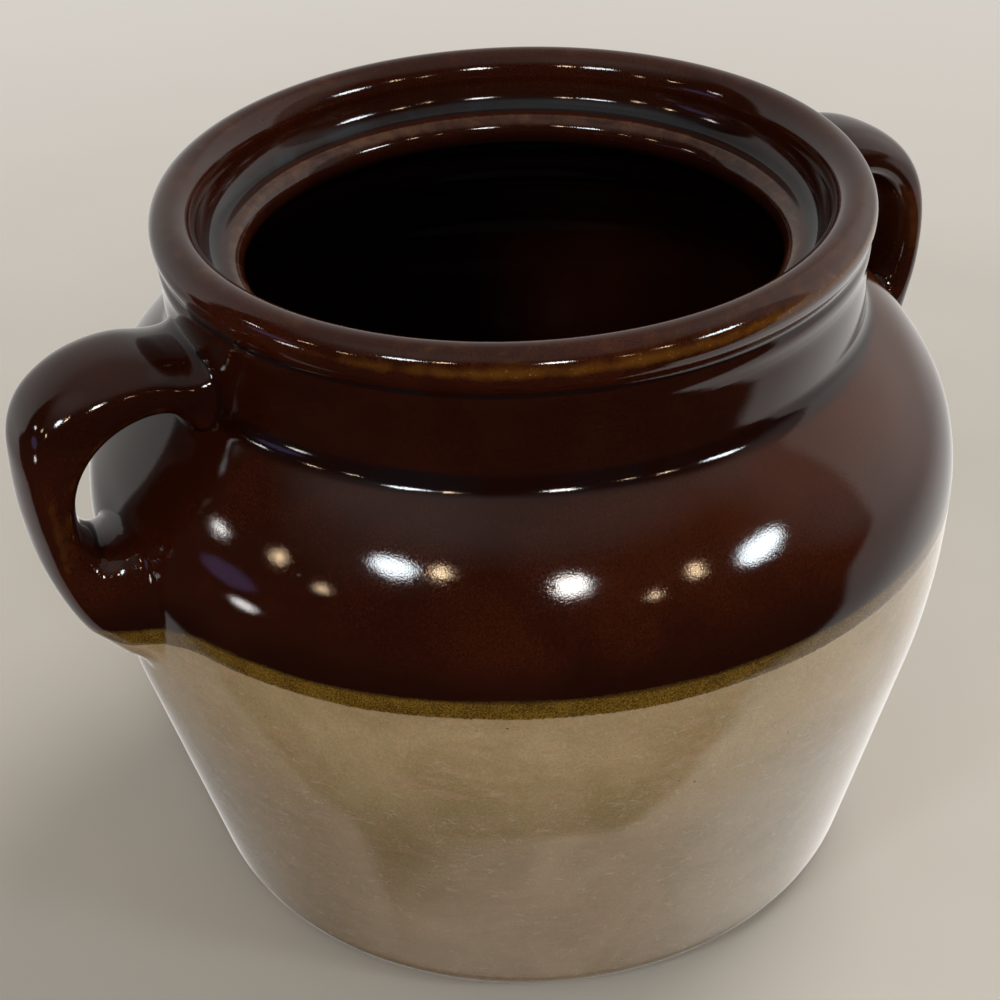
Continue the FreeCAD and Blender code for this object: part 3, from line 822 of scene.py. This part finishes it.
LOWER_ROOT = [
    (106.2, 100.0, 97.2, 106.5, 12.5, 0, 0, 0),
    (105.1, 95.2, 96.4, 104.4, 12.5, 0, 0.8, 0),
    (103.4, 89.8, 95.3, 102.4, 12.7, 0, 2.0, 0),
    (100.8, 83.8, 93.8, 101.2, 13.7, 0, 4.0, 0),
    (96.8, 76.6, 91.9, 101.6, 16.0, 0.04, 6.5, 0.2),
    (91.6, 69.4, 89.6, 103.8, 19.0, 0.12, 9.5, 1.0),
    (90.0, 65.2, 88.4, 106.0, 20.8, 0.20, 11.0, 1.0),
]
SKEW = 0.42
# How much fuller the outside of the strap is, in mm, by the turn of the crook in degrees.
FULLER_TURNS = (0, 15, 30, 45, 58, 70, 85, 120)
HANDLES = {
    "left": {
        "azimuth": 180.0,
        "lift": 0.0,
        "drawn": 1.0,
        "near": (2.0, 3.2, 4.6, 5.0, 4.1, 1.4, -0.2, -0.2),
        "far": (3.3, 4.3, 5.2, 5.2, 3.8, 1.3, -0.2, -0.2),
    },
    "right": {
        "azimuth": 7.0,
        "lift": 4.5,
        "drawn": 0.3,
        "near": (1.6, 1.9, 2.2, 2.4, 2.0, 1.1, 0.0, 0.0),
        "far": (2.4, 2.2, 2.2, 2.2, 1.9, 1.1, 0.0, 0.0),
    },
}


def strap_stations():
    """Every ring of the strap, from the neck over the crook and down to the belly."""
    stations = list(UPPER_ROOT)
    bends = [(HANDLE_MIDDLE, CROOK, lean) for lean in range(0, 90, 9)]
    bends += [(TAIL_MIDDLE, TAIL, lean) for lean in (90, 94)]
    for middle, bend, lean in bends:
        outer, inner = bend + STRAP_THICK / 2, bend - STRAP_THICK / 2
        edges = (middle + outer * sin(lean), CROOK_HEIGHT + outer * cos(lean))
        edges += (middle + inner * sin(lean), CROOK_HEIGHT + inner * cos(lean))
        stations.append((*edges, STRAP_WIDE / 2, 0, 0, 0))
    return [*stations, *LOWER_ROOT]


def strap_ring(station, near, far, drawn):
    """The places of one ring's vertices: a rounded strap section, crowned on its outer face."""
    outer_radius, outer_height, inner_radius, inner_height, half_width, narrowing, rise, _ = station
    middle = Vector(((outer_radius + inner_radius) / 2, 0, (outer_height + inner_height) / 2))
    half = Vector((outer_radius, 0, outer_height)) - middle
    lean = math.degrees(math.atan2(half.x, half.z))
    grown = np.interp(middle.x, (NECK + 2, HANDLE_MIDDLE), (0, 1)) if lean < 30 else 1.0
    places = []
    for number in range(RING):
        turned = math.tau * number / RING
        side = math.copysign(abs(math.cos(turned)) ** (2 / STRAP_SQUARE), math.cos(turned))
        out = math.copysign(abs(math.sin(turned)) ** (2 / STRAP_SQUARE), math.sin(turned))
        share = 0.5 + 0.5 * side
        fuller = np.interp(lean, FULLER_TURNS, near) * share
        fuller += np.interp(lean, FULLER_TURNS, far) * (1 - share)
        push = half.length * out + (fuller * grown + CROWN * (1 - side * side)) * max(0.0, out) ** 0.7
        across = half_width * side * (1 - narrowing * max(0.0, out)) + SKEW * rise * drawn
        place = middle + half.normalized() * push
        lifted = rise * drawn * (share - 0.25) * max(0.0, -out)
        places.append((place.x, across, place.z + lifted))
    return places


def wrap_on(piece, form, group, distance):
    bpy.context.view_layer.objects.active = piece
    wrap = piece.modifiers.new("wrap", "SHRINKWRAP")
    wrap.target, wrap.vertex_group = form, group
    wrap.wrap_method, wrap.wrap_mode, wrap.offset = "NEAREST_SURFACEPOINT", "ABOVE_SURFACE", distance * MM
    bpy.ops.object.modifier_apply(modifier=wrap.name)


def pull_handle(side, form, material):
    """One strap, drawn ring by ring, with both ends wiped on to the pot while soft."""
    shape = HANDLES[side]
    stations = strap_stations()
    stations = [stations[0], *stations, stations[-1]]
    bpy.ops.object.select_all(action="DESELECT")
    bpy.ops.mesh.primitive_circle_add(vertices=RING, radius=STRAP_WIDE / 2 * MM, location=(0, 0, 0))
    piece = start_piece(side + "_strap")
    for number, station in enumerate(stations):
        if number:
            bpy.ops.mesh.extrude_region_move(TRANSFORM_OT_translate={"value": (MM, 0, 0)})
        form_mesh = bmesh.from_edit_mesh(piece.data)
        ring = [vertex for vertex in form_mesh.verts if vertex.select]
        ring.sort(key=lambda vertex: vertex.index)
        for vertex, (u, v, z) in zip(ring, strap_ring(station, shape["near"], shape["far"], shape["drawn"])):
            vertex.co = (u * MM, v * MM, z * MM)
        bmesh.update_edit_mesh(piece.data)
        if number in (0, len(stations) - 1):
            centre = ((station[0] + station[2]) / 2 * MM, 0, (station[1] + station[3]) / 2 * MM)
            bpy.ops.transform.resize(value=(1, 0.93, 0.93), center_override=centre)
            bpy.ops.mesh.edge_face_add()
            bpy.ops.mesh.select_all(action="DESELECT")
            form_mesh = bmesh.from_edit_mesh(piece.data)
            form_mesh.verts.ensure_lookup_table()
            for vertex in form_mesh.verts[number * RING:]:
                vertex.select = True
            form_mesh.select_flush(True)
            bmesh.update_edit_mesh(piece.data)
    end_piece(piece)
    piece.rotation_euler.z = math.radians(shape["azimuth"])
    piece.location.z = shape["lift"] * MM
    bpy.ops.object.transform_apply(location=True, rotation=True, scale=True)
    plug, wiped = piece.vertex_groups.new(name="plug"), piece.vertex_groups.new(name="wiped")
    for number, station in enumerate(stations):
        ring = list(range(number * RING, (number + 1) * RING))
        if number in (0, len(stations) - 1):
            plug.add(ring, 1.0, "REPLACE")
        elif station[-1]:
            wiped.add(ring, station[-1], "REPLACE")
    wrap_on(piece, form, "plug", -PLUG_DEPTH)
    wrap_on(piece, form, "wiped", -WIPED_DEPTH)
    smooth = piece.modifiers.new("smooth", "SUBSURF")
    smooth.levels = smooth.render_levels = 3
    bpy.ops.object.modifier_apply(modifier=smooth.name)
    wrap_on(piece, form, "wiped", -WIPED_DEPTH)
    bpy.ops.object.shade_smooth()
    paint_bent_run(piece)
    names = [f"{side}_{part}" for part in ("handle", "upper_lute", "lower_lute")]
    return finish_piece(piece, material, "outer_brown_glaze", *names)


def handles(materials):
    """The pot's outside is turned once more as a form to wipe the straps on, and put away again."""
    outline = [point for point in outer_outline(0) if 40 < point[1]]
    form = settle(turn("wiping_form", [*outline, (40, LIP_TOP - 6), (40, outline[0][1])]))
    for side in HANDLES:
        pull_handle(side, form, materials["outside"])
    bpy.data.objects.remove(form)


# ---------------------------------------------------------------- stage, lamps and camera
def look_from(azimuth, elevation, distance):
    """A place seen from the pot's middle: azimuth 0 is towards -Y, 90 towards +X."""
    middle = Vector((0, 0, 0.08))
    way = Vector((sin(azimuth) * cos(elevation), -cos(azimuth) * cos(elevation), sin(elevation)))
    return middle + way * distance, way


def add_lamp(name, azimuth, elevation, size, power, color, distance=1.6, flatness=1.0):
    data = bpy.data.lights.new(name, "AREA")
    data.shape = "ELLIPSE"
    data.size, data.size_y = size, size * flatness
    data.energy, data.color = power * flatness, color
    lamp = bpy.data.objects.new(name, data)
    scene.collection.objects.link(lamp)
    lamp.location, way = look_from(azimuth, elevation, distance)
    lamp.rotation_euler = way.to_track_quat("Z", "Y").to_euler()
    return lamp


COOL, WARM, PLAIN, VIOLET = (0.86, 0.95, 1.0), (1.0, 0.74, 0.47), (1.0, 0.98, 0.95), (0.50, 0.42, 1.0)
# Name, azimuth, elevation, size in m, power in W, colour and flatness of the lamps that the glaze mirrors.
PANELS = [
    ("panel left", -63, 36.8, 0.28, 5.0, COOL, 0.56),
    ("panel middle", -14.6, 35, 0.21, 3.2, PLAIN, 0.8),
    ("panel right", 36, 25, 0.34, 7.2, COOL, 0.5),
    ("panel far left", -109.6, 19.2, 0.13, 0.7, PLAIN, 0.5),
    ("low panel", -94.6, -3.8, 0.19, 1.0, PLAIN, 0.75),
    ("violet pane", -101, 8, 0.46, 0.30, VIOLET, 0.6),
]
# Azimuth, elevation and size of the small warm lamps, and their power per square metre of size.
WARM_SPOTS = [
    (-50, 38.2, 0.10),
    (17.7, 29, 0.08),
    (5.3, 26.2, 0.055),
    (-91.8, 24.6, 0.07),
    (-77.7, 22.8, 0.06),
]
WARM_POWER = 70
# The large lamps that light without being mirrored.
SOFT_LAMPS = [
    ("soft box", 105, 52, 1.5, 26.0),
    ("soft side", -75, 8, 1.2, 3.5),
    ("soft front", -10, 38, 1.2, 2.5),
]
SOFT_DISTANCE = 2.4


def lamps():
    for name, azimuth, elevation, size, power, color, flatness in PANELS:
        add_lamp(name, azimuth, elevation, size, power, color, flatness=flatness)
    for number, (azimuth, elevation, size) in enumerate(WARM_SPOTS):
        add_lamp(f"warm spot {number + 1}", azimuth, elevation, size, WARM_POWER * size ** 2, WARM)
    for name, azimuth, elevation, size, power in SOFT_LAMPS:
        soft = add_lamp(name, azimuth, elevation, size, power, PLAIN, SOFT_DISTANCE)
        soft.visible_glossy = False


PALE, PALE_LEVEL = (1.0, 0.94, 0.865, 1), 0.68
# Azimuth, elevation, the cosine where a patch of the room begins and is full, and how much light it adds.
BRIGHT_PATCHES = [
    (-80, 52, 0.88, 0.985, 0.10),
    (85, 30, 0.74, 0.92, 0.24),
    (165, -12, 0.88, 0.97, 0.20),
    (115, -48, 0.70, 0.95, 0.36),
]
# The same for the patches that keep only a share of the light.
DIM_PATCHES = [
    (-145, -46, 0.80, 0.97, 0.45),
    (154, -76, 0.86, 0.95, 0.25),
]


def room():
    """World light: pale walls and table around a dark front, under a dim ceiling.

    The camera sees one pale colour, and the floor fades into it.
    """
    world = bpy.data.worlds.new("room")
    scene.world = world
    world.use_nodes = True
    graph = Graph(world.node_tree)
    background = world.node_tree.nodes["Background"]
    way = graph.node("TexCoord").outputs["Generated"]
    up = graph.node("SeparateXYZ", {0: way}).outputs[2]

    def towards(azimuth, elevation):
        aim = (sin(azimuth) * cos(elevation), -cos(azimuth) * cos(elevation), sin(elevation))
        return graph.node("VectorMath", {0: way, 1: aim}, operation="DOT_PRODUCT").outputs["Value"]

    wall = graph.ramp(up, 0.2, 0.75, 0.52, 0.36)
    wall = graph.sum("ADD", wall, graph.ramp(up, -0.62, -0.40, 0.26, 0.0))
    low_down = graph.ramp(up, -0.22, 0.08, 0.20, 0.0)
    edge = graph.sum("MULTIPLY_ADD", towards(60, 0), low_down, graph.ramp(up, -0.75, -0.40, 0.20, -0.14))
    edge = graph.sum("ADD", edge, graph.ramp(up, -0.97, -0.92, 0.3, 0.0))
    dark = graph.ramp(graph.sum("SUBTRACT", towards(-30, 0), edge), -0.014, 0.014)
    low = graph.blend(dark, wall, 0.018)
    light = graph.blend(graph.ramp(up, 0.62, 0.86), low, 0.24)
    for azimuth, elevation, begins, full, added in BRIGHT_PATCHES:
        patch = graph.ramp(towards(azimuth, elevation), begins, full, 0.0, added)
        light = graph.sum("ADD", light, patch)
    for azimuth, elevation, begins, full, kept in DIM_PATCHES:
        patch = graph.ramp(towards(azimuth, elevation), begins, full, 1.0, kept)
        light = graph.sum("MULTIPLY", light, patch)
    seen = graph.node("LightPath").outputs["Is Camera Ray"]
    rosy = graph.ramp(up, -0.85, -0.50, 1.0, 0.0)
    rosy = graph.sum("MULTIPLY", rosy, graph.ramp(towards(-60, -55), 0.55, 0.85))
    cloth = graph.mix(rosy, (1.0, 0.97, 0.93, 1), (1.0, 0.82, 0.76, 1))
    graph.feed(background.inputs["Color"], graph.mix(seen, cloth, PALE))
    graph.feed(background.inputs["Strength"], graph.blend(seen, light, PALE_LEVEL))


FLOOR_RADIUS = 3.0
# How far from the pot, in metres, the floor begins to fade into the background and has faded.
FADE_BEGINS, FADE_ENDS = 0.12, 0.65


def floor():
    bpy.ops.object.select_all(action="DESELECT")
    bpy.ops.mesh.primitive_circle_add(vertices=96, radius=FLOOR_RADIUS, fill_type="NGON", location=(0, 0, 0))
    table = bpy.context.object
    table.name = "pale_floor"
    material, graph, shader = new_material("pale floor", IOR=1.4)
    point = graph.node("TexCoord").outputs["Object"]
    tone = graph.ramp(graph.noise(point, 90, 2.0), 0.3, 0.7)
    graph.feed(shader["Base Color"], graph.mix(tone, (0.68, 0.64, 0.578, 1), (0.71, 0.67, 0.608, 1)))
    shader["Roughness"].default_value = 0.9
    shader["Specular IOR Level"].default_value = 0.1
    away = graph.node("VectorMath", {0: point}, operation="LENGTH").outputs["Value"]
    glow = graph.node("Emission", {"Color": PALE, "Strength": PALE_LEVEL})
    seen = graph.node("LightPath").outputs["Is Camera Ray"]
    share = graph.sum("MULTIPLY", graph.ramp(away, FADE_BEGINS, FADE_ENDS), seen)
    principled = material.node_tree.nodes["Principled BSDF"]
    shown = graph.node("MixShader", {0: share, 1: principled, 2: glow})
    graph.feed(material.node_tree.nodes["Material Output"].inputs["Surface"], shown)
    table.data.materials.append(material)
    table.visible_glossy = False


# Places in metres, roll in degrees, sensor and lens in mm.
CAMERA_PLACE = Vector((-0.16415, -0.32568, 0.32349))
CAMERA_AIM = Vector((-0.00074, 0.00936, 0.07141))
CAMERA_ROLL = -2.23
SENSOR, LENS = 36.0, 72.0


def camera():
    data = bpy.data.cameras.new("camera")
    data.sensor_width, data.lens = SENSOR, LENS
    eye = bpy.data.objects.new("camera", data)
    scene.collection.objects.link(eye)
    turned = (CAMERA_AIM - CAMERA_PLACE).to_track_quat("-Z", "Y").to_matrix()
    eye.rotation_euler = turned.to_euler()
    eye.rotation_euler.rotate_axis("Z", math.radians(CAMERA_ROLL))
    eye.location = CAMERA_PLACE
    scene.camera = eye


GROUPS = {
    "line": dip_line_group(),
    "ripple": glaze_ripple_group(),
    "brown": brown_glaze_group(),
    "olive": olive_grain_group(),
    "clear": clear_glaze_group(),
}
MATERIALS = {
    "outside": outside_glaze(GROUPS),
    "inside": inside_glaze(GROUPS),
    "bare": bare_stoneware(GROUPS),
}
turned_pieces(MATERIALS)
handles(MATERIALS)

floor()
lamps()
room()
camera()
scene.view_settings.view_transform = "Standard"
